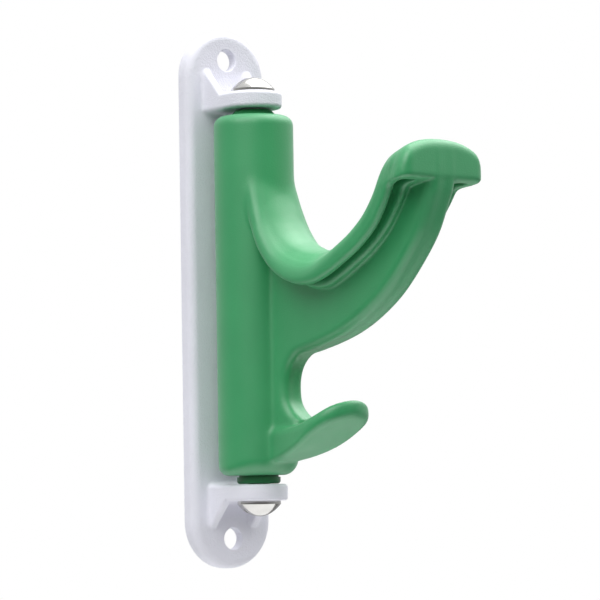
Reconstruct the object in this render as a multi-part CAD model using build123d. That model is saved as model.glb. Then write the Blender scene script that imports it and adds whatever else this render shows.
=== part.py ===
from build123d import *
import os

# Swivelling wall hook for a hose or a watering wand, in millimetres.
# A moulded hook turns on a vertical axle between the two lugs of a wall plate.
# Origin: on the wall plane, midway between the two screw holes.
# +X runs along the plate's width, +Y points into the wall, +Z points up.

# ---- wall plate ----
PLATE_HEIGHT = 200.0
PLATE_WIDTH = 35.0
PLATE_DEPTH = 6.2
PLATE_EDGE_RADIUS = 3.2
FACE_WALL = 4.0
RIM_WALL = 2.6
RIB_THICKNESS = 2.0
RIB_HEIGHTS = (-72.0, -36.0, 0.0, 36.0, 72.0)
HOLE_DIAMETER = 8.0
HOLE_HEIGHT = 89.0
HOLE_RELIEF_DIAMETER = 16.0
HOLE_EDGE_BREAK = 0.3

# ---- lugs and gussets ----
AXLE_REACH = 16.9
LUG_WIDTH = 21.2
LUG_THICKNESS = 6.1
UPPER_LUG_BOTTOM = 69.0
LOWER_LUG_TOP = -69.0
LUG_EDGE_RADIUS = 1.4
ROOT_RADIUS = 1.6
GUSSET_THICKNESS = 3.2
GUSSET_HEIGHT = 10.2
GUSSET_REACH = 10.0

# ---- axle, caps and grip washers ----
AXLE_DIAMETER = 8.0
AXLE_CLEARANCE = 0.05
AXLE_PROUD = 2.4
AXLE_CHAMFER = 0.6
CAP_DIAMETER = 16.0
CAP_HEIGHT = 5.7
CAP_RIM_HEIGHT = 1.2
CAP_EDGE_RADIUS = 0.5
CAP_SHEET = 0.6
CAP_LIP_WIDTH = 1.3
WASHER_SHEET = 0.5
WASHER_EYE_DIAMETER = 10.6
WASHER_TEETH = 6
WASHER_TOOTH_WIDTH = 2.2

# ---- hook: barrel and bushes ----
HOOK_SWING = 9.0
BARREL_DIAMETER = 29.3
BARREL_TOP = 66.3
BARREL_BOTTOM = -65.8
BARREL_END_RADIUS = 3.8
BARREL_BORE = 9.0
BUSH_DIAMETER = 12.0
BUSH_LENGTH = 20.0
UPPER_CONE_BASE = 17.4
UPPER_CONE_TOP = 13.4
UPPER_CONE_HEIGHT = 2.1
COLLAR_DIAMETER = 16.0
COLLAR_GAP = 0.1
COLLAR_HEIGHT = 2.5
COLLAR_EDGE_RADIUS = 1.2
GROOVE_DIAMETER = 14.6

# ---- hook: cradle and head, as distances from the axle's axis and heights ----
CRADLE_LINE = (
    (13.3, 49.5), (15.7, 38.5), (19.3, 25.6), (28.2, 14.6),
    (38.5, 12.4), (52.5, 17.2), (66.5, 25.8), (78.4, 43.0),
)
CRADLE_END_HALF_WIDTHS = (11.8, 18.5)
CRADLE_MID_HALF_WIDTH = 16.0
CRADLE_SECTIONS = 9
CRADLE_RIM = 4.6
CRADLE_CROWN = 5.8
HEAD_REACH = 95.9
HEAD_DEPTH = 17.0
HEAD_WIDTH = 42.4
HEAD_TOP = 50.8
HEAD_TOP_DROP = 6.8
HEAD_CROWN_RADIUS = 42.0
HEAD_SHOULDER_RADIUS = 4.5
HEAD_UNDERSIDE = 35.8
HEAD_UNDERSIDE_DROP = 3.4
HEAD_EDGE_RADIUS = 1.5

# ---- hook: arm, throat and tongue ----
ARM_OUTER_LINE = ((94.8, 32.0), (88.1, 17.6), (70.0, -3.5), (49.0, -16.0), (26.6, -22.5))
THROAT_POINT = (19.2, -34.7)
THROAT_END = (22.4, -43.0)
SPINE_HALF_WIDTH = 5.4
ARM_HALF_WIDTH = 6.7
ARM_FULL_WIDTH_REACH = 50.0
ARM_EDGE_RADIUS = 1.6
TONGUE_TOP_LINE = ((8.0, -48.5), (24.4, -48.6), (40.7, -44.3), (50.0, -39.2))
TONGUE_UNDER_LINE = ((52.0, -44.6), (41.3, -50.3), (30.8, -56.1), (8.0, -61.9))
TONGUE_ROOT_HALF_WIDTH = 5.5
TONGUE_HALF_WIDTH = 13.0
TONGUE_REACH = 51.0
TONGUE_EDGE_RADIUS = 1.8

AXLE_Y = -(PLATE_DEPTH + AXLE_REACH)
UPPER_LUG_TOP = UPPER_LUG_BOTTOM + LUG_THICKNESS
LOWER_LUG_BOTTOM = LOWER_LUG_TOP - LUG_THICKNESS
RUNNING_BORE = AXLE_DIAMETER + 2 * AXLE_CLEARANCE
ACROSS_WALL = Plane.XZ
SIDE_VIEW = Plane.YZ


def on_axle(height):
    """A place on the axle's axis at the given height."""
    return Pos(0, AXLE_Y, height)


def rod(diameter, bottom, top):
    """An upright cylinder about the Z axis between two heights."""
    return Pos(0, 0, bottom) * extrude(Circle(diameter / 2), top - bottom)


def outward(points):
    """Side-view points: distance from the axis becomes -Y, height stays."""
    return [(-reach, height) for reach, height in points]


# ---------------------------------------------------------------- wall plate
def plate_blank():
    """The stadium-shaped plate with its rounded front edge."""
    outline = ACROSS_WALL * SlotOverall(PLATE_HEIGHT, PLATE_WIDTH, rotation=90)
    blank = extrude(outline, PLATE_DEPTH)
    front_edges = blank.faces().sort_by(Axis.Y)[0].edges()
    return fillet(front_edges, PLATE_EDGE_RADIUS)


def plate_pockets():
    """The cored space behind the face, with ribs across it and clear room behind each screw hole."""
    inner = SlotOverall(PLATE_HEIGHT - 2 * RIM_WALL, PLATE_WIDTH - 2 * RIM_WALL, rotation=90)
    for height in RIB_HEIGHTS:
        inner -= Pos(0, height) * Rectangle(PLATE_WIDTH, RIB_THICKNESS)
    inner -= Rectangle(RIB_THICKNESS, PLATE_HEIGHT)
    for side in (-1, 1):
        inner += Pos(0, side * HOLE_HEIGHT) * Circle(HOLE_RELIEF_DIAMETER / 2)
    return extrude(ACROSS_WALL * inner, PLATE_DEPTH - FACE_WALL)


def screw_hole(height):
    """A through hole whose front edge is broken by a small chamfer."""
    radius = HOLE_DIAMETER / 2
    through = rod(HOLE_DIAMETER, -1, PLATE_DEPTH + 1)
    flare = Cone(radius, radius + HOLE_EDGE_BREAK, HOLE_EDGE_BREAK)
    edge_break = Pos(0, 0, PLATE_DEPTH - HOLE_EDGE_BREAK / 2) * flare
    return Pos(0, 0, height) * Rot(90, 0, 0) * (through + edge_break)


def lug(bottom):
    """A flat ear that stands out from the plate, with its round end about the axle."""
    root = PLATE_DEPTH - PLATE_EDGE_RADIUS
    ear = Pos(0, (AXLE_Y - root) / 2) * Rectangle(LUG_WIDTH, -AXLE_Y - root)
    ear += Pos(0, AXLE_Y) * Circle(LUG_WIDTH / 2)
    solid = Pos(0, 0, bottom) * extrude(ear, LUG_THICKNESS)
    level_edges = [edge for edge in solid.edges() if abs(edge.tangent_at(0.5).Z) < 0.5]
    free_edges = [edge for edge in level_edges if edge.center().Y < -root - 1]
    return fillet(free_edges, LUG_EDGE_RADIUS)


def gussets(lug_face, side):
    """Two triangular webs that brace a lug's outer face against the plate."""
    webs = []
    overlap = 1.5
    profile = outward([
        (PLATE_DEPTH - overlap, lug_face - side * overlap),
        (PLATE_DEPTH - overlap, lug_face + side * GUSSET_HEIGHT),
        (PLATE_DEPTH, lug_face + side * GUSSET_HEIGHT),
        (PLATE_DEPTH + GUSSET_REACH, lug_face),
        (PLATE_DEPTH + GUSSET_REACH, lug_face - side * overlap),
    ])
    web = extrude(SIDE_VIEW * make_face(Polyline(*profile, close=True)), GUSSET_THICKNESS)
    directions = [(edge, edge.tangent_at(0.5)) for edge in web.edges()]
    slopes = [edge for edge, direction in directions if min(abs(direction.Y), abs(direction.Z)) > 0.3]
    web = fillet(slopes, GUSSET_THICKNESS / 3)
    offset = LUG_WIDTH / 2 - GUSSET_THICKNESS
    webs.append(Pos(offset, 0, 0) * web)
    webs.append(Pos(-LUG_WIDTH / 2, 0, 0) * web)
    return webs


def root_edges(body):
    """The edges where lugs and gussets rise from the plate's flat face."""
    face_edges = body.edges().filter_by_position(Axis.Y, -PLATE_DEPTH - 0.01, -PLATE_DEPTH + 0.01)
    inside = PLATE_WIDTH / 2 - PLATE_EDGE_RADIUS - 0.5
    inner_edges = [edge for edge in face_edges if abs(edge.center().X) < inside]
    return [edge for edge in inner_edges if abs(edge.center().Z) < HOLE_HEIGHT]


def wall_plate():
    """The plate, its lugs and gussets in one moulding, with the axle's bore through both lugs."""
    body = plate_blank()
    body += lug(UPPER_LUG_BOTTOM)
    body += lug(LOWER_LUG_BOTTOM)
    body += gussets(UPPER_LUG_TOP, 1)
    body += gussets(LOWER_LUG_BOTTOM, -1)
    body = fillet(root_edges(body), ROOT_RADIUS)
    body -= plate_pockets()
    for side in (-1, 1):
        body -= screw_hole(side * HOLE_HEIGHT)
    return body - on_axle(0) * rod(RUNNING_BORE, -PLATE_HEIGHT / 2, PLATE_HEIGHT / 2)


# ---------------------------------------------------------------- axle and its caps
def axle():
    """The steel rod, chamfered at both ends, that stands proud of both lugs inside the caps."""
    bottom = LOWER_LUG_BOTTOM - AXLE_PROUD
    top = UPPER_LUG_TOP + AXLE_PROUD
    shaft = rod(AXLE_DIAMETER, bottom, top)
    return on_axle(0) * chamfer(shaft.edges().filter_by(GeomType.CIRCLE), AXLE_CHAMFER)


def dome(radius, height, rim_height):
    """A solid dome: an upright rim, then a shallow flank that flattens towards the top."""
    flank = (radius * 0.62, height * 0.72)
    outline = [
        Line((0, 0), (radius, 0)),
        Line((radius, 0), (radius, rim_height)),
        Spline((radius, rim_height), flank, (0, height), tangents=((-0.8, 1), (-1, 0))),
        Line((0, height), (0, 0)),
    ]
    return revolve(Plane.XZ * make_face(outline), Axis.Z)


def cap():
    """The push-on dome cap, a sheet shell with an inward lip under the grip washer. Its seat is at Z = 0."""
    outer = dome(CAP_DIAMETER / 2, CAP_HEIGHT, CAP_RIM_HEIGHT)
    outer = fillet(outer.edges().sort_by(Axis.Z)[0], CAP_EDGE_RADIUS)
    hollow_radius = CAP_DIAMETER / 2 - CAP_SHEET
    inner_dome = dome(hollow_radius, CAP_HEIGHT - 2 * CAP_SHEET, CAP_RIM_HEIGHT - CAP_SHEET)
    hollow = Pos(0, 0, CAP_SHEET) * inner_dome
    eye = rod(2 * (hollow_radius - CAP_LIP_WIDTH), 0, CAP_SHEET)
    return outer - hollow - eye


def grip_washer():
    """The toothed washer that the cap's lip holds, its teeth on the axle."""
    disc = Circle(CAP_DIAMETER / 2 - CAP_SHEET) - Circle(WASHER_EYE_DIAMETER / 2)
    tooth_length = WASHER_EYE_DIAMETER / 2
    for index in range(WASHER_TEETH):
        turn = Rot(0, 0, index * 360 / WASHER_TEETH)
        disc += turn * Pos(tooth_length / 2 + 0.5, 0) * Rectangle(tooth_length, WASHER_TOOTH_WIDTH)
    disc -= Circle(AXLE_DIAMETER / 2)
    return Pos(0, 0, CAP_SHEET) * extrude(disc, WASHER_SHEET)


def at_top(piece):
    """Seats an end fitting on the upper lug."""
    return on_axle(UPPER_LUG_TOP) * piece


def at_bottom(piece):
    """Seats an end fitting on the lower lug, upside down."""
    return on_axle(LOWER_LUG_BOTTOM) * Rot(180, 0, 0) * piece


# ---------------------------------------------------------------- bushes
def upper_bush():
    """A sleeve pressed into the barrel, with a shallow cone above the barrel's end."""
    sleeve = rod(BUSH_DIAMETER, BARREL_TOP - BUSH_LENGTH, BARREL_TOP)
    cone = Cone(UPPER_CONE_BASE / 2, UPPER_CONE_TOP / 2, UPPER_CONE_HEIGHT)
    bush = sleeve + Pos(0, 0, BARREL_TOP + UPPER_CONE_HEIGHT / 2) * cone
    return bush - rod(RUNNING_BORE, BARREL_TOP - BUSH_LENGTH, BARREL_TOP + UPPER_CONE_HEIGHT)


def lower_bush():
    """A sleeve pressed into the barrel, with a grooved collar that bears on the lower lug."""
    collar_bottom = LOWER_LUG_TOP + COLLAR_GAP
    collar = rod(COLLAR_DIAMETER, collar_bottom, collar_bottom + COLLAR_HEIGHT)
    collar = fillet(collar.edges().sort_by(Axis.Z)[0], COLLAR_EDGE_RADIUS)
    neck = rod(GROOVE_DIAMETER, collar_bottom + COLLAR_HEIGHT, BARREL_BOTTOM)
    sleeve = rod(BUSH_DIAMETER, BARREL_BOTTOM, BARREL_BOTTOM + BUSH_LENGTH)
    bush = collar + neck + sleeve
    return bush - rod(RUNNING_BORE, collar_bottom, BARREL_BOTTOM + BUSH_LENGTH)


# ---------------------------------------------------------------- hook, about its own axis, pointing along -Y
def barrel():
    """The upright body round the axle, with rounded ends."""
    body = rod(BARREL_DIAMETER, BARREL_BOTTOM, BARREL_TOP)
    return fillet(body.edges().filter_by(GeomType.CIRCLE), BARREL_END_RADIUS)


def barrel_bores():
    """The clearance bore and the two seats for the bushes."""
    bores = rod(BARREL_BORE, BARREL_BOTTOM, BARREL_TOP)
    bores += rod(BUSH_DIAMETER, BARREL_TOP - BUSH_LENGTH, BARREL_TOP)
    return bores + rod(BUSH_DIAMETER, BARREL_BOTTOM, BARREL_BOTTOM + BUSH_LENGTH)


def cradle_half_width(along):
    """Half the cradle's width, quickly wider from the barrel to the middle, then slowly to the head."""
    start, end = CRADLE_END_HALF_WIDTHS
    if along < 0.5:
        return start + (CRADLE_MID_HALF_WIDTH - start) * (along / 0.5) ** 0.6
    return CRADLE_MID_HALF_WIDTH + (end - CRADLE_MID_HALF_WIDTH) * (along - 0.5) / 0.5


def cradle_section(line, along):
    """A crowned strip across the cradle, at right angles to the line along its top."""
    half = cradle_half_width(along)
    plane = Plane(origin=line @ along, x_dir=(1, 0, 0), z_dir=line % along)
    inward = 1 if plane.y_dir.Z > 0 or plane.y_dir.Y < 0 else -1
    edge_height = -inward * CRADLE_CROWN
    under_height = -inward * (CRADLE_CROWN + CRADLE_RIM)
    outline = [
        ThreePointArc((-half, edge_height), (0, 0), (half, edge_height)),
        Line((half, edge_height), (half, under_height)),
        Line((half, under_height), (-half, under_height)),
        Line((-half, under_height), (-half, edge_height)),
    ]
    return plane * make_face(outline)


def cradle():
    """The wide saddle that carries the hose, lofted through crowned sections."""
    line = SIDE_VIEW * Spline(*outward(CRADLE_LINE))
    steps = [index / (CRADLE_SECTIONS - 1) for index in range(CRADLE_SECTIONS)]
    return loft([cradle_section(line, along) for along in steps])


def head():
    """The wide crowned end of the arm, its top and its underside sloping down towards the wall."""
    side_profile = outward([
        (HEAD_REACH - HEAD_DEPTH, HEAD_TOP),
        (HEAD_REACH, HEAD_TOP + 1),
        (HEAD_REACH, HEAD_UNDERSIDE),
        (HEAD_REACH - HEAD_DEPTH, HEAD_UNDERSIDE - HEAD_UNDERSIDE_DROP),
    ])
    slab = extrude(SIDE_VIEW * make_face(Polyline(*side_profile, close=True)), HEAD_WIDTH, both=True)
    crown = Pos(0, HEAD_TOP - HEAD_CROWN_RADIUS) * Circle(HEAD_CROWN_RADIUS)
    crown &= Pos(0, HEAD_TOP) * Rectangle(HEAD_WIDTH, 2 * HEAD_CROWN_RADIUS)
    crown = fillet(crown.vertices().group_by(Axis.Y)[-1], HEAD_SHOULDER_RADIUS)
    slope = Vector(0, HEAD_DEPTH, -HEAD_TOP_DROP)
    section = Pos(0, -HEAD_REACH, 0) * (ACROSS_WALL * crown)
    block = slab & extrude(section, slope.length, dir=slope)
    outer_edges = block.faces().sort_by(Axis.Y)[0].edges()
    return fillet(outer_edges, HEAD_EDGE_RADIUS)


def arm():
    """The upright web under the cradle: arm, spine along the barrel and the round throat above the tongue."""
    under_cradle = [(reach, height - CRADLE_RIM / 2) for reach, height in CRADLE_LINE]
    outline = [
        Line((-8.0, under_cradle[0][1]), outward(under_cradle)[0]),
        Spline(*outward(under_cradle)),
        Polyline(*outward([under_cradle[-1], (HEAD_REACH, HEAD_TOP - 5), ARM_OUTER_LINE[0]])),
        Spline(*outward(ARM_OUTER_LINE)),
        Spline(*outward([ARM_OUTER_LINE[-1], THROAT_POINT, THROAT_END])),
        Polyline(*outward([THROAT_END, (THROAT_END[0], -50.0), (8.0, -54.0), (8.0, under_cradle[0][1])])),
    ]
    web = extrude(SIDE_VIEW * make_face(outline), ARM_HALF_WIDTH, both=True)
    half_plan = [
        (0, 0),
        (SPINE_HALF_WIDTH, 0),
        (SPINE_HALF_WIDTH, -BARREL_DIAMETER / 2),
        (ARM_HALF_WIDTH, -ARM_FULL_WIDTH_REACH),
        (ARM_HALF_WIDTH, -HEAD_REACH - 1),
        (0, -HEAD_REACH - 1),
    ]
    plan = make_face(Polyline(*half_plan, close=True))
    plan += mirror(plan, Plane.YZ)
    return web & extrude(plan, PLATE_HEIGHT, both=True)


def tongue():
    """The small spoon-shaped lower hook."""
    side = make_face([
        Spline(*outward(TONGUE_TOP_LINE)),
        Line(*outward([TONGUE_TOP_LINE[-1], TONGUE_UNDER_LINE[0]])),
        Spline(*outward(TONGUE_UNDER_LINE)),
        Line(*outward([TONGUE_UNDER_LINE[-1], TONGUE_TOP_LINE[0]])),
    ])
    slab = extrude(SIDE_VIEW * side, TONGUE_HALF_WIDTH, both=True)
    round_centre = TONGUE_REACH - TONGUE_HALF_WIDTH
    right_end = (TONGUE_HALF_WIDTH, -round_centre)
    left_end = (-TONGUE_HALF_WIDTH, -round_centre)
    plan = make_face([
        Line((-TONGUE_ROOT_HALF_WIDTH, -8.0), (TONGUE_ROOT_HALF_WIDTH, -8.0)),
        Line((TONGUE_ROOT_HALF_WIDTH, -8.0), right_end),
        ThreePointArc(right_end, (0, -TONGUE_REACH), left_end),
        Line(left_end, (-TONGUE_ROOT_HALF_WIDTH, -8.0)),
    ])
    return slab & extrude(plan, PLATE_HEIGHT, both=True)


def hook():
    """The whole green moulding, still pointing straight out from the wall."""
    body = barrel() + cradle() + head() + arm() + tongue()
    return body - barrel_bores()


def swung(piece):
    """Places a piece of the swivelling hook on the axle, turned to its rest angle."""
    return on_axle(0) * Rot(0, 0, HOOK_SWING) * piece


def main():
    nodes = {
        "wall_plate": wall_plate(),
        "axle": axle(),
        "upper_cap": at_top(cap()),
        "lower_cap": at_bottom(cap()),
        "upper_grip_washer": at_top(grip_washer()),
        "lower_grip_washer": at_bottom(grip_washer()),
        "hook": swung(hook()),
        "upper_bush": swung(upper_bush()),
        "lower_bush": swung(lower_bush()),
    }
    os.makedirs("parts", exist_ok=True)
    for name, shape in nodes.items():
        export_step(shape, f"parts/{name}.step")


main()
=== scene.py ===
import math

import bpy
import numpy as np
from mathutils import Matrix, Vector


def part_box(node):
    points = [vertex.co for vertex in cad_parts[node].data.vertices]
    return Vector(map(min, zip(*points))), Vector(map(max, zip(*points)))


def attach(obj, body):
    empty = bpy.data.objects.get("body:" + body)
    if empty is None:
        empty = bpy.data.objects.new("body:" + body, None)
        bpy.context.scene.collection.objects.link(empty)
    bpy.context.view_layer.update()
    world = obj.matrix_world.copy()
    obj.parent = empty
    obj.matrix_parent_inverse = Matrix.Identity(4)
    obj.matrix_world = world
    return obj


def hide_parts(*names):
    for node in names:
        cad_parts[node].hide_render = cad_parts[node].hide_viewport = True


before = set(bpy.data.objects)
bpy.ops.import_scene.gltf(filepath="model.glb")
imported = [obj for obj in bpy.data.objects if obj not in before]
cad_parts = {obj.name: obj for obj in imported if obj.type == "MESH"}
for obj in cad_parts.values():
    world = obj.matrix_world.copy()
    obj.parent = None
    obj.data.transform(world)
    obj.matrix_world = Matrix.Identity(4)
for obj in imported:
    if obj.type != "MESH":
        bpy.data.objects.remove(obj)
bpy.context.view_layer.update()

# Swivelling wall hook. The hook's moulding is built here as one signed distance field in millimetres, with
# every web, rim and fillet in it, and meshed into one closed skin. The wall plate, the bushes, the axle, the
# caps and the grip washers stay the CAD's own shapes, with procedural materials.

MM = 0.001

# ---- where things are, from the frame, in millimetres ----
AXLE = (Vector(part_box("axle")[0]) + Vector(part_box("axle")[1])) / 2
AXLE_Y = AXLE.y / MM
BARREL_BOTTOM, BARREL_TOP = (corner[2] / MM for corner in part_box("hook"))

# ---- the hook stands straight out in its own frame; reach is the distance from the axle's axis along it ----
HOOK_SWING = math.radians(9.0)
# The grid on which its field is sampled, and the rounds that even out the mesh.
FIELD_STEP = 0.75
FIELD_HALF_WIDTH = 21.0
FIELD_REACH = 97.5
FIELD_BACK = 16.5
FIELD_MARGIN = 1.5
SETTLE_ROUNDS = 6

# ---- barrel ----
BARREL_RADIUS = 14.65
BARREL_END_RADIUS = 3.8
BARREL_FRONT_END_RADIUS = 6.0
BARREL_FRONT_REACHES = (-2.0, 10.0)
BARREL_BORE_RADIUS = 4.6
BUSH_SEAT_RADIUS = 6.0
BUSH_LENGTH = 20.0

# ---- cradle ----
# The line along the cradle's side edges, from the barrel round the bowl and up the arm: reach, height.
CRADLE_EDGE = ((1.0, 62.0), (5.2, 49.0), (8.9, 38.5), (11.7, 30.0), (15.0, 22.4), (20.7, 14.5), (27.2, 9.4),
               (36.6, 6.1), (44.0, 6.6), (49.8, 9.0), (55.7, 12.2), (64.4, 17.5), (71.1, 23.2), (75.4, 28.7),
               (79.3, 35.2), (81.6, 41.0), (83.6, 47.0), (85.2, 53.0))
CRADLE_REACHES = (8.0, 12.0, 15.0, 21.0, 36.0, 56.0, 76.0, 84.0, 90.0, 96.0)
CRADLE_HALF_WIDTHS = (12.0, 13.0, 13.9, 14.8, 16.1, 16.8, 17.1, 18.2, 20.4, 21.4)
CROWN_REACHES = (8.0, 15.0, 22.0, 30.0, 38.0, 46.0, 54.0, 64.0, 84.0)
CROWN_HEIGHTS = (5.3, 4.9, 5.6, 7.5, 8.3, 6.6, 5.0, 4.8, 4.4)
CROWN_POWER = 2.5
CRADLE_EDGE_RADIUS = 1.3
# The bowl is solid up to the first reach and a thin shell from the second.
SHELL = 2.8
SHELL_OPENS = (26.0, 48.0)
INNER_EDGE_RADIUS = 1.0
RIM_WIDTH = 3.6
RIM_REACHES = (20.0, 38.0, 56.0, 84.0)
RIM_DEPTHS = (3.3, 4.4, 5.4, 6.0)
RIM_EDGE_RADIUS = 1.9
RIM_BLEND = 1.4
RIDGE_HALF_WIDTH = 10.2
RIDGE_REACHES = (24.0, 48.0)
RIDGE_DEPTHS = (3.6, 6.8)
RIDGE_HOLLOW = 2.4
RIDGE_HOLLOW_FROM = 4.0
RIDGE_EDGE_RADIUS = 2.6
RIDGE_BLEND = 1.2

# ---- head ----
HEAD_START = 66.0
HEAD_REACH = 95.9
HEAD_SLOPE_LENGTH = 18.0
HEAD_TOP = 50.8
HEAD_SLOPE = 0.27
HEAD_CROWN = 9.8
HEAD_CROWN_POWER = 2.2
HEAD_ROLL = 4.0
HEAD_CORNER_RADIUS = 5.0
HEAD_EDGE_RADIUS = 4.6
HEAD_WALL = 5.0
HEAD_SHELL = SHELL + 1.0
HEAD_UNDERSIDE = 35.8
HEAD_UNDERSIDE_SLOPE = 0.2
HEAD_UNDERSIDE_EDGE_RADIUS = 1.2
POCKET_CORNER_RADIUS = 1.5
POCKET_LIP_RADIUS = 1.6
# Short of these reaches the head's roof is lifted clear of the bowl.
ROOF_LIFT = 10.0
ROOF_LIFT_REACHES = (40.0, 65.0)

# ---- web: the arm's outer side, the throat and the way to the tongue, then back inside the barrel ----
SPINE_HALF_WIDTH = 5.4
ARM_HALF_WIDTH = 6.7
WEB_WIDENS = (16.0, 52.0)
WEB_EDGE_RADIUS = 3.4
CREASE_DEPTH = 0.25
CREASE_WIDTH = 2.0
ARM_OUTER = ((95.8, 46.0), (95.8, 37.5), (94.8, 32.0), (92.2, 26.2), (88.1, 17.6), (80.9, 7.9), (70.0, -3.5),
             (58.4, -11.5), (49.0, -16.0), (40.1, -19.0), (30.9, -21.4), (25.6, -22.7), (21.8, -25.9),
             (19.8, -29.8), (19.2, -34.7), (19.9, -39.5), (22.4, -43.0), (26.4, -46.0))
WEB_INNER = ((25.0, -52.0), (8.0, -56.0), (0.0, -56.0), (0.0, 46.0))

# ---- tongue: side lines as reach and height, and its outline from above as reach and half width ----
TONGUE_REACH = 51.1
TONGUE_TOP = ((6.0, -48.4), (17.0, -48.9), (24.4, -48.6), (33.5, -46.9), (40.7, -44.3),
              (48.0, -40.2), (60.0, -33.2))
TONGUE_UNDER = ((60.0, -38.6), (51.4, -45.0), (41.3, -50.3), (30.8, -56.1), (22.1, -59.3),
                (14.0, -61.1), (6.0, -62.0))
TONGUE_PLAN = ((6.0, 6.0), (13.3, 6.6), (22.0, 9.0), (30.5, 11.3), (37.0, 12.5),
               (41.7, 12.3), (45.8, 10.8), (49.2, 7.0))
TONGUE_TOP_EDGE_RADIUS = 3.0
TONGUE_UNDER_EDGE_RADIUS = 1.9

# ---- fillets where the hook's parts run into each other; a pair changes over its pair of places ----
HEAD_BLEND = 2.0
WEB_BLENDS = (4.0, 0.8)
WEB_BLEND_REACHES = (62.0, 88.0)
ROOT_BLENDS = (2.2, 1.3)
ROOT_BLEND_HEIGHTS = (-5.0, 1.0)
TONGUE_BLEND = 3.0

# ---- materials ----
SHEEN_ROUGHNESS = 0.45
NOISE_SPAN = (0.3, 0.7)

# ---- studio: metres, watts and degrees ----
CAMERA_LENS = 192
CAMERA_DISTANCE = 1.1946
CAMERA_TURN = -35.75
CAMERA_PITCH = 3.3
CAMERA_ROLL = -0.93
CAMERA_AIM = (0.02405, -0.01731, -0.00063)
FLOOR_SIZE = 1.2
FLOOR_HEIGHT = -0.6
TENT_BRIGHT_SIDE = (0.2, 0.3, 0.93)
TENT_COLOR = (0.98, 0.99, 1, 1)
TENT_FACING = (-0.45, 0.95)
TENT_STRENGTH = (0.08, 1.0)
# Name, place, aim, side of the square and power of each light.
LIGHTS = (
    ("overhead", (1.0, -0.1, 1.85), (0.02, -0.06, 0.0), 2.6, 60),
    ("front", (-1.65, -1.15, 1.9), (0, -0.03, 0), 2.6, 47),
    ("left", (-0.75, -0.2, 0.7), (0, -0.03, 0.02), 0.8, 1.5),
)


# ---------------------------------------------------------------- curves and plane distances
def smooth_curve(points, per_span):
    """Points along a centripetal Catmull-Rom curve through the given ones, so many to each span."""
    points = np.asarray(points, float)
    ends = np.vstack([2 * points[0] - points[1], points, 2 * points[-1] - points[-2]])
    out = []
    for i in range(1, len(ends) - 2):
        p0, p1, p2, p3 = ends[i - 1:i + 3]
        t0 = 0.0
        t1 = t0 + math.sqrt(np.linalg.norm(p1 - p0))
        t2 = t1 + math.sqrt(np.linalg.norm(p2 - p1))
        t3 = t2 + math.sqrt(np.linalg.norm(p3 - p2))
        t = np.linspace(t1, t2, per_span, endpoint=False)[:, None]
        a1 = (t1 - t) / (t1 - t0) * p0 + (t - t0) / (t1 - t0) * p1
        a2 = (t2 - t) / (t2 - t1) * p1 + (t - t1) / (t2 - t1) * p2
        a3 = (t3 - t) / (t3 - t2) * p2 + (t - t2) / (t3 - t2) * p3
        b1 = (t2 - t) / (t2 - t0) * a1 + (t - t0) / (t2 - t0) * a2
        b2 = (t3 - t) / (t3 - t1) * a2 + (t - t1) / (t3 - t1) * a3
        out.append((t2 - t) / (t2 - t1) * b1 + (t - t1) / (t2 - t1) * b2)
    out.append(points[-1:])
    return np.vstack(out)


def line_distance(line, u, v):
    """Distance of each plane point to the polyline, positive on the line's left."""
    best = np.full(u.shape, 1e9)
    signed = np.zeros(u.shape)
    for a, b in zip(line[:-1], line[1:]):
        span = b - a
        du, dv = u - a[0], v - a[1]
        t = np.clip((du * span[0] + dv * span[1]) / (span @ span), 0, 1)
        gap = np.hypot(du - t * span[0], dv - t * span[1])
        side = np.where(span[0] * dv - span[1] * du >= 0, 1.0, -1.0)
        nearer = gap < best - 1e-9
        best = np.where(nearer, gap, best)
        signed = np.where(nearer, side * gap, signed)
    return signed


def outline_distance(outline, u, v):
    """Distance of each plane point to a closed outline, negative inside."""
    closed = np.vstack([outline, outline[:1]])
    best = np.full(u.shape, 1e9)
    inside = np.zeros(u.shape, bool)
    for a, b in zip(closed[:-1], closed[1:]):
        span = b - a
        du, dv = u - a[0], v - a[1]
        t = np.clip((du * span[0] + dv * span[1]) / max(span @ span, 1e-12), 0, 1)
        best = np.minimum(best, np.hypot(du - t * span[0], dv - t * span[1]))
        crosses = (a[1] > v) != (b[1] > v)
        if a[1] != b[1]:
            inside ^= crosses & (u < a[0] + (v - a[1]) * span[0] / span[1])
    return np.where(inside, -best, best)


# ---------------------------------------------------------------- solid distances
def join(a, b, blend):
    """Union of two solids with a fillet of about the given size."""
    h = np.maximum(blend - np.abs(a - b), 0) / blend
    return np.minimum(a, b) - h * h * h * blend / 6


def cut(a, b, blend=0.2):
    """Solid a without solid b, with the new edge rounded."""
    return -join(-a, b, blend)


def meet(a, b, rounding):
    """The solid inside both, with the edge between them rounded."""
    inside = np.minimum(np.maximum(a, b) + rounding, 0)
    corner = np.hypot(np.maximum(a + rounding, 0), np.maximum(b + rounding, 0))
    return inside + corner - rounding


def ramp(x, x0, x1, y0, y1):
    """A smooth step from y0 at x0 to y1 at x1."""
    t = np.clip((x - x0) / (x1 - x0), 0, 1)
    return y0 + (y1 - y0) * t * t * (3 - 2 * t)


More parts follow.
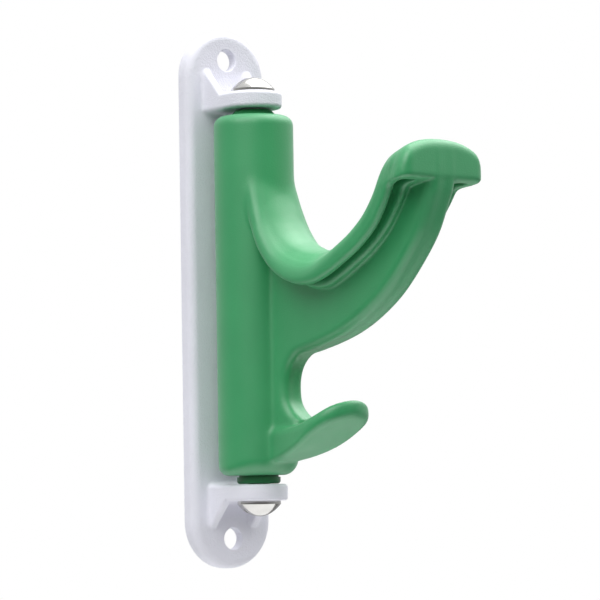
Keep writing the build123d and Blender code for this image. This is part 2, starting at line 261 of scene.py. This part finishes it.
# ---------------------------------------------------------------- field to skin
def net_of(field, low, step):
    """A closed quad mesh of the field's zero surface: one vertex in each cell that it crosses."""
    inside = field < 0
    shape = field.shape
    cells = tuple(n - 1 for n in shape)
    total = np.zeros(cells + (3,), np.float32)
    count = np.zeros(cells, np.float32)
    crossings = []
    for axis in range(3):
        a = np.moveaxis(field, axis, 0)
        first, second = a[:-1], a[1:]
        hit = (first < 0) != (second < 0)
        t = np.where(hit, first / np.where(hit, first - second, 1), 0)
        hit = np.moveaxis(hit, 0, axis)
        t = np.moveaxis(t, 0, axis)
        crossings.append(hit)
        others = [k for k in range(3) if k != axis]
        for da in (0, 1):
            for db in (0, 1):
                window = [slice(None)] * 3
                window[others[0]] = slice(da, da + cells[others[0]])
                window[others[1]] = slice(db, db + cells[others[1]])
                h = hit[tuple(window)]
                count += h
                total[..., axis] += np.where(h, t[tuple(window)], 0)
                total[..., others[0]] += h * da
                total[..., others[1]] += h * db
    used = count > 0
    index = np.full(cells, -1, np.int64)
    index[used] = np.arange(used.sum())
    place = np.argwhere(used) + total[used] / count[used][:, None]
    verts = np.asarray(low) + place * step
    quads = []
    for axis in range(3):
        others = [k for k in range(3) if k != axis]
        hit = crossings[axis]
        spots = np.argwhere(hit)
        ok = np.all([(spots[:, k] > 0) & (spots[:, k] < shape[k] - 1) for k in others], axis=0)
        spots = spots[ok]
        ring = []
        for da, db in ((-1, -1), (0, -1), (0, 0), (-1, 0)):
            cell = spots.copy()
            cell[:, others[0]] += da
            cell[:, others[1]] += db
            ring.append(index[tuple(cell.T)])
        ring = np.stack(ring, 1)
        outward = inside[tuple(spots.T)]
        if axis == 1:
            outward = ~outward
        ring[~outward] = ring[~outward][:, ::-1]
        quads.append(ring)
    return verts, np.vstack(quads)


def sample(field, low, step, points):
    """Trilinear value of the field at points."""
    place = (points - np.asarray(low)) / step
    base = np.clip(np.floor(place).astype(int), 0, np.array(field.shape) - 2)
    f = place - base
    value = np.zeros(len(points))
    for dx in (0, 1):
        for dy in (0, 1):
            for dz in (0, 1):
                weight = np.abs(1 - dx - f[:, 0]) * np.abs(1 - dy - f[:, 1]) * np.abs(1 - dz - f[:, 2])
                value += weight * field[base[:, 0] + dx, base[:, 1] + dy, base[:, 2] + dz]
    return value


def settle(verts, quads, field, low, step):
    """Evens out the mesh along the surface and draws each vertex back onto it."""
    gradient = np.stack(np.gradient(field, step), -1)
    edges = np.vstack([quads[:, [0, 1]], quads[:, [1, 2]], quads[:, [2, 3]], quads[:, [3, 0]]])
    for _ in range(SETTLE_ROUNDS):
        total = np.zeros_like(verts)
        count = np.zeros(len(verts))
        for a, b in ((0, 1), (1, 0)):
            np.add.at(total, edges[:, a], verts[edges[:, b]])
            np.add.at(count, edges[:, a], 1)
        verts = verts + 0.5 * (total / count[:, None] - verts)
        for _ in range(2):
            value = sample(field, low, step, verts)
            slope = np.stack([sample(gradient[..., k], low, step, verts) for k in range(3)], 1)
            verts = verts - slope * (value / np.maximum((slope ** 2).sum(1), 0.04))[:, None]
    return verts


def skin(name, field_at, low, high, step, place):
    """Meshes a solid given by its distance function over a box, places it and returns the object."""
    axes = [np.arange(a, b + step, step) for a, b in zip(low, high)]
    field = field_at(*axes)
    verts, quads = net_of(field, low, step)
    verts = settle(verts, quads, field, low, step)
    verts = verts @ np.array(place.to_3x3()).T + np.array(place.translation)
    mesh = bpy.data.meshes.new(name)
    mesh.from_pydata((verts * MM).tolist(), [], quads.tolist())
    mesh.polygons.foreach_set("use_smooth", np.ones(len(mesh.polygons), bool))
    mesh.update()
    piece = bpy.data.objects.new(name, mesh)
    bpy.context.scene.collection.objects.link(piece)
    return piece


# ---------------------------------------------------------------- the hook's moulding
def barrel_solid(q, reach, z):
    """The upright body round the axle, its ends rounded, and more so in front at the bottom."""
    radius = np.hypot(q, reach)
    lower_front = ramp(reach, *BARREL_FRONT_REACHES, BARREL_END_RADIUS, BARREL_FRONT_END_RADIUS)
    rounding = np.where(z < 0, lower_front, BARREL_END_RADIUS)
    return meet(radius - BARREL_RADIUS, np.maximum(z - BARREL_TOP, BARREL_BOTTOM - z), rounding)


def bores(q, reach, z):
    """The axle's clearance bore and the two wider seats."""
    radius = np.hypot(q, reach)
    seats = np.minimum(BARREL_TOP - BUSH_LENGTH - z, z - BARREL_BOTTOM - BUSH_LENGTH)
    return np.minimum(radius - BARREL_BORE_RADIUS, np.maximum(radius - BUSH_SEAT_RADIUS, seats))


def crown_above_edge(share, reach):
    """How far the cradle's middle line stands above its edges, fading out towards them."""
    return np.interp(reach, CROWN_REACHES, CROWN_HEIGHTS) * (1 - share ** CROWN_POWER)


def upper_surface(share, half, over_edge, reach, z):
    """Distance over the cradle's crowned top, which rolls over into the crowned top of the head."""
    share = np.minimum(share, 1.1)
    crown = np.interp(reach, CROWN_REACHES, CROWN_HEIGHTS)
    slope = CROWN_POWER * crown * share ** (CROWN_POWER - 1) / half
    bowl = (over_edge - crown_above_edge(share, reach)) / np.sqrt(1 + slope ** 2)
    shoulder = np.clip(1 - share ** HEAD_CROWN_POWER, 0, 1) ** (1 / HEAD_CROWN_POWER)
    crest = HEAD_TOP - HEAD_SLOPE * np.minimum(HEAD_REACH - reach, HEAD_SLOPE_LENGTH)
    crest = crest + ramp(reach, *ROOF_LIFT_REACHES, ROOF_LIFT, 0.0)
    # The roof grows steep towards the sides, where its height over a point is more than its distance.
    steepness = np.sqrt(1 + 0.8 * share ** 6)
    roof = (z - crest + HEAD_CROWN * (1 - shoulder)) / steepness
    return meet(bowl, roof, HEAD_ROLL)


def cradle_solid(top, q, half, over_edge, reach):
    """The saddle: a crowned shell with a deeper rim along each side and a ridge on each side of the web."""
    opened = ramp(reach, *SHELL_OPENS, 0.0, 1.0)
    rim_depth = np.interp(reach, RIM_REACHES, RIM_DEPTHS)
    thin_ceiling = crown_above_edge(np.minimum(q / half, 1), reach) - SHELL
    ceiling = opened * thin_ceiling - (1 - opened) * rim_depth
    block = meet(top, np.maximum(q - half, -reach), CRADLE_EDGE_RADIUS)
    shell = meet(block, ceiling - over_edge, INNER_EDGE_RADIUS)
    rim = meet(block, -over_edge - rim_depth, RIM_EDGE_RADIUS)
    rim = meet(rim, half - RIM_WIDTH - q, INNER_EDGE_RADIUS)
    ridge_depth = ramp(reach, *RIDGE_REACHES, *RIDGE_DEPTHS)
    ridge_depth = ridge_depth - ramp(q, RIDGE_HOLLOW_FROM, RIDGE_HALF_WIDTH, RIDGE_HOLLOW, 0.0)
    ridge = meet(np.maximum(block, -over_edge - ridge_depth), q - RIDGE_HALF_WIDTH, RIDGE_EDGE_RADIUS)
    return join(join(shell, rim, RIM_BLEND), ridge, RIDGE_BLEND)


def head_solid(top, q, half, reach, z):
    """The wide crowned end of the arm, with a hollow underside that slopes up outwards."""
    corners = meet(q - half, reach - HEAD_REACH, HEAD_CORNER_RADIUS)
    body = meet(np.maximum(top, HEAD_START - reach), corners, HEAD_EDGE_RADIUS)
    underside = HEAD_UNDERSIDE - HEAD_UNDERSIDE_SLOPE * (HEAD_REACH - reach)
    over_underside = (z - underside) / math.hypot(1, HEAD_UNDERSIDE_SLOPE)
    body = meet(body, -over_underside, HEAD_UNDERSIDE_EDGE_RADIUS)
    pocket = meet(RIDGE_HALF_WIDTH - q, q - half + RIM_WIDTH, INNER_EDGE_RADIUS)
    pocket = meet(pocket, reach - HEAD_REACH + HEAD_WALL, POCKET_CORNER_RADIUS)
    pocket = meet(pocket, top + HEAD_SHELL, POCKET_CORNER_RADIUS)
    return cut(body, pocket, POCKET_LIP_RADIUS)


def web_solid(q, side, reach):
    """The upright web: side is the distance outside its outline in the side view."""
    half = ramp(reach, *WEB_WIDENS, SPINE_HALF_WIDTH, ARM_HALF_WIDTH)
    crease = CREASE_DEPTH * np.exp(-(q / CREASE_WIDTH) ** 2)
    return meet(side + crease, q - half, WEB_EDGE_RADIUS)


def tongue_solid(reach2, z2, xs, ys):
    """The spoon-shaped lower hook, between its upper and lower faces and inside its outline from above."""
    top = -line_distance(smooth_curve(TONGUE_TOP[::-1], 8), reach2, z2)[None]
    under = -line_distance(smooth_curve(TONGUE_UNDER[::-1], 8), reach2, z2)[None]
    right_side = np.array(TONGUE_PLAN)
    left_side = (right_side * (1, -1))[::-1]
    outline = smooth_curve(np.vstack([right_side, [(TONGUE_REACH, 0.0)], left_side]), 6)
    across, reach = np.meshgrid(np.abs(xs), -ys, indexing="ij")
    plan = outline_distance(outline, reach, across)[:, :, None]
    return np.maximum(meet(top, plan, TONGUE_TOP_EDGE_RADIUS), meet(under, plan, TONGUE_UNDER_EDGE_RADIUS))


def hook_field(xs, ys, zs):
    """Distance to the hook's moulding, which stands straight out along -Y from its axis here."""
    q = np.abs(xs)[:, None, None]
    reach2, z2 = np.meshgrid(-ys, zs, indexing="ij")
    reach, z = reach2[None], z2[None]
    half = np.interp(reach, CRADLE_REACHES, CRADLE_HALF_WIDTHS)

    edge_distance = line_distance(smooth_curve(CRADLE_EDGE, 10), reach2, z2)
    over_edge = edge_distance[None]
    top = upper_surface(q / half, half, over_edge, reach, z)
    cradle = cradle_solid(top, q, half, over_edge, reach)
    head = head_solid(top, q, half, reach, z)

    web_outline = np.vstack([smooth_curve(ARM_OUTER, 6), WEB_INNER])
    side = np.maximum(outline_distance(web_outline, reach2, z2), edge_distance)
    web = web_solid(q, side[None], reach)

    web_blend = ramp(reach, *WEB_BLEND_REACHES, *WEB_BLENDS)
    root_blend = ramp(over_edge, *ROOT_BLEND_HEIGHTS, *ROOT_BLENDS)
    upper = join(join(cradle, head, HEAD_BLEND), web, web_blend)
    body = join(barrel_solid(q, reach, z), upper, root_blend)
    body = join(body, tongue_solid(reach2, z2, xs, ys), TONGUE_BLEND)
    return cut(body, bores(q, reach, z)).astype(np.float32)


def build_hook():
    """The hook's skin, turned about the axle to its rest angle."""
    place = Matrix.Translation((0, AXLE_Y, 0)) @ Matrix.Rotation(HOOK_SWING, 4, "Z")
    low = (-FIELD_HALF_WIDTH, -FIELD_REACH, BARREL_BOTTOM - FIELD_MARGIN)
    high = (FIELD_HALF_WIDTH, FIELD_BACK, BARREL_TOP + FIELD_MARGIN)
    return skin("hook_moulding", hook_field, low, high, FIELD_STEP, place)


# ---------------------------------------------------------------- materials
class Surface:
    """A material under construction: its shader, its node tree and the object's own coordinates."""

    def __init__(self, name, roughness, metallic=0.0, gloss=0.5, sheen=0.0):
        self.material = bpy.data.materials.new(name)
        self.material.use_nodes = True
        self.tree = self.material.node_tree
        self.shader = self.tree.nodes["Principled BSDF"]
        self.shader.inputs["Roughness"].default_value = roughness
        self.shader.inputs["Metallic"].default_value = metallic
        self.shader.inputs["Specular IOR Level"].default_value = gloss
        self.shader.inputs["Sheen Weight"].default_value = sheen
        self.shader.inputs["Sheen Roughness"].default_value = SHEEN_ROUGHNESS
        self.place = self.add("ShaderNodeTexCoord").outputs["Object"]

    def add(self, kind, **values):
        """A new node, its inputs set by name."""
        node = self.tree.nodes.new(kind)
        for name, value in values.items():
            node.inputs[name.replace("_", " ")].default_value = value
        return node

    def link(self, output, target):
        self.tree.links.new(output, target)

    def noise(self, size_mm, detail, stretch=None):
        """Noise whose patches are about the given size, its coordinates scaled along each axis if asked."""
        place = self.place
        if stretch:
            mapping = self.add("ShaderNodeMapping", Scale=stretch)
            self.link(place, mapping.inputs["Vector"])
            place = mapping.outputs["Vector"]
        node = self.add("ShaderNodeTexNoise", Scale=1 / (size_mm * MM), Detail=detail)
        self.link(place, node.inputs["Vector"])
        return node.outputs["Fac"]

    def between(self, amount, low, high):
        """A value that runs from low to high over the span that noise mostly keeps to."""
        start, end = NOISE_SPAN
        node = self.add("ShaderNodeMapRange", From_Min=start, From_Max=end, To_Min=low, To_Max=high)
        self.link(amount, node.inputs["Value"])
        return node.outputs["Result"]

    def tint(self, amount, first, second):
        """Colours the surface between two tones."""
        node = self.add("ShaderNodeMix")
        node.data_type = "RGBA"
        node.inputs[6].default_value = (*first, 1)
        node.inputs[7].default_value = (*second, 1)
        self.link(amount, node.inputs[0])
        self.link(node.outputs[2], self.shader.inputs["Base Color"])

    def roughen(self, amount, low, high):
        """Roughness that runs between two values."""
        self.link(self.between(amount, low, high), self.shader.inputs["Roughness"])

    def relief(self, height, depth_mm):
        """Bumps of about the given depth."""
        node = self.add("ShaderNodeBump", Strength=1.0, Distance=depth_mm * MM)
        self.link(height, node.inputs["Height"])
        self.link(node.outputs["Normal"], self.shader.inputs["Normal"])


def moulded_plastic(name, color, other, roughness, gloss, sheen, grain_mm, grain_depth_mm):
    """Satin moulded plastic: slow drifts of tone and gloss, and a fine eroded grain."""
    surface = Surface(name, roughness, gloss=gloss, sheen=sheen)
    drift = surface.noise(size_mm=26.0, detail=4.0)
    grain = surface.noise(grain_mm, detail=3.0)
    surface.tint(surface.between(drift, 0.0, 1.0), color, other)
    surface.roughen(surface.noise(size_mm=7.0, detail=5.0), roughness - 0.04, roughness + 0.05)
    surface.relief(grain, grain_depth_mm)
    return surface.material


def turned_plastic(name, color, other):
    """Plastic turned on a lathe: fine rings about the axis."""
    surface = Surface(name, roughness=0.34)
    rings = surface.noise(size_mm=6.0, detail=3.0, stretch=(0.1, 0.1, 14.0))
    surface.tint(surface.between(rings, 0.0, 1.0), color, other)
    surface.roughen(rings, 0.28, 0.42)
    surface.relief(rings, depth_mm=0.03)
    return surface.material


def polished_steel(name, color, other):
    """Stainless sheet, polished, with faint buffing marks and cloudy patches."""
    surface = Surface(name, roughness=0.24, metallic=1.0)
    cloud = surface.noise(size_mm=3.5, detail=4.0)
    marks = surface.noise(size_mm=1.2, detail=4.0, stretch=(1.0, 7.0, 1.0))
    surface.tint(surface.between(cloud, 0.0, 1.0), color, other)
    surface.roughen(marks, 0.14, 0.22)
    surface.relief(cloud, depth_mm=0.012)
    return surface.material


def drawn_steel(name, color, other, roughness):
    """Steel rod or spring sheet, with fine lines along Z from drawing."""
    surface = Surface(name, roughness, metallic=1.0)
    lines = surface.noise(size_mm=0.5, detail=3.0, stretch=(1.0, 1.0, 0.03))
    patches = surface.noise(size_mm=9.0, detail=4.0)
    surface.tint(surface.between(patches, 0.0, 1.0), color, other)
    surface.roughen(lines, roughness - 0.07, roughness + 0.1)
    surface.relief(lines, depth_mm=0.008)
    return surface.material


def put(piece, material):
    """Makes this the piece's only material."""
    piece.data.materials.clear()
    piece.data.materials.append(material)


def dress_parts():
    """Gives the hook's skin and every CAD node its material."""
    green = moulded_plastic("green_plastic", (0.018, 0.30, 0.098), (0.022, 0.33, 0.108),
                            roughness=0.46, gloss=1.0, sheen=0.22, grain_mm=0.55, grain_depth_mm=0.05)
    grey = moulded_plastic("grey_plastic", (0.81, 0.81, 0.885), (0.85, 0.85, 0.93),
                           roughness=0.5, gloss=0.5, sheen=0.0, grain_mm=0.6, grain_depth_mm=0.22)
    # The bushes are the same green plastic as the hook; their darker green is painted shade.
    bush = turned_plastic("bush_plastic", (0.022, 0.19, 0.064), (0.027, 0.22, 0.075))
    cap_steel = polished_steel("cap_steel", (0.55, 0.54, 0.52), (0.62, 0.61, 0.59))
    axle_steel = drawn_steel("axle_steel", (0.50, 0.50, 0.50), (0.60, 0.60, 0.59), roughness=0.3)
    spring_steel = drawn_steel("spring_steel", (0.22, 0.22, 0.23), (0.30, 0.29, 0.29), roughness=0.38)

    hook = build_hook()
    put(hook, green)
    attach(hook, "hook")
    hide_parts("hook")
    for node, material in (("wall_plate", grey), ("upper_bush", bush), ("lower_bush", bush),
                           ("axle", axle_steel), ("upper_cap", cap_steel), ("lower_cap", cap_steel),
                           ("upper_grip_washer", spring_steel), ("lower_grip_washer", spring_steel)):
        put(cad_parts[node], material)


# ---------------------------------------------------------------- stage, lights and camera
def build_camera():
    """The view of the photo, from the object's left and a little below it."""
    data = bpy.data.cameras.new("camera")
    data.sensor_width = 36
    data.lens = CAMERA_LENS
    data.clip_start = 0.01
    camera = bpy.data.objects.new("camera", data)
    bpy.context.scene.collection.objects.link(camera)
    turn, pitch, roll = math.radians(CAMERA_TURN), math.radians(CAMERA_PITCH), math.radians(CAMERA_ROLL)
    forward = Vector((-math.sin(turn) * math.cos(pitch), math.cos(turn) * math.cos(pitch), math.sin(pitch)))
    level = Vector((math.cos(turn), math.sin(turn), 0))
    upright = level.cross(forward)
    right = level * math.cos(roll) + upright * math.sin(roll)
    up = upright * math.cos(roll) - level * math.sin(roll)
    place = Matrix.Translation(Vector(CAMERA_AIM) - forward * CAMERA_DISTANCE)
    camera.matrix_world = place @ Matrix((right, up, -forward)).transposed().to_4x4()
    bpy.context.scene.camera = camera


def build_light(name, place, aim, size, power):
    """A square area light."""
    data = bpy.data.lights.new(name, "AREA")
    data.shape = "SQUARE"
    data.size = size
    data.energy = power
    light = bpy.data.objects.new(name, data)
    light.location = place
    light.rotation_euler = (Vector(aim) - Vector(place)).to_track_quat("-Z", "Y").to_euler()
    bpy.context.scene.collection.objects.link(light)


def build_stage():
    """A plain pale floor, well below the object."""
    bpy.ops.mesh.primitive_plane_add(size=FLOOR_SIZE, location=(0, 0, FLOOR_HEIGHT))
    floor = bpy.context.object
    floor.name = "floor"
    surface = Surface("floor_white", roughness=0.85)
    patches = surface.noise(size_mm=300.0, detail=2.0)
    surface.tint(surface.between(patches, 0.0, 1.0), (0.80, 0.80, 0.80), (0.84, 0.84, 0.84))
    put(floor, surface.material)


def build_world():
    """White behind the object for the camera; for the light, a tent that is bright above and dim below."""
    world = bpy.data.worlds.new("world")
    world.use_nodes = True
    tree = world.node_tree
    links = tree.links
    direction = tree.nodes.new("ShaderNodeTexCoord").outputs["Generated"]
    facing = tree.nodes.new("ShaderNodeVectorMath")
    facing.operation = "DOT_PRODUCT"
    facing.inputs[1].default_value = TENT_BRIGHT_SIDE
    links.new(direction, facing.inputs[0])
    strength = tree.nodes.new("ShaderNodeMapRange")
    for end, facing_value, strength_value in zip(("Min", "Max"), TENT_FACING, TENT_STRENGTH):
        strength.inputs["From " + end].default_value = facing_value
        strength.inputs["To " + end].default_value = strength_value
    links.new(facing.outputs["Value"], strength.inputs["Value"])
    tent = tree.nodes["Background"]
    tent.inputs["Color"].default_value = TENT_COLOR
    links.new(strength.outputs["Result"], tent.inputs["Strength"])
    backdrop = tree.nodes.new("ShaderNodeBackground")
    backdrop.inputs["Color"].default_value = (1, 1, 1, 1)
    mix = tree.nodes.new("ShaderNodeMixShader")
    path = tree.nodes.new("ShaderNodeLightPath")
    links.new(path.outputs["Is Camera Ray"], mix.inputs["Fac"])
    links.new(tent.outputs[0], mix.inputs[1])
    links.new(backdrop.outputs[0], mix.inputs[2])
    links.new(mix.outputs[0], tree.nodes["World Output"].inputs["Surface"])
    bpy.context.scene.world = world
    bpy.context.scene.view_settings.view_transform = "Standard"


dress_parts()
build_camera()
build_stage()
build_world()
for light in LIGHTS:
    build_light(*light)
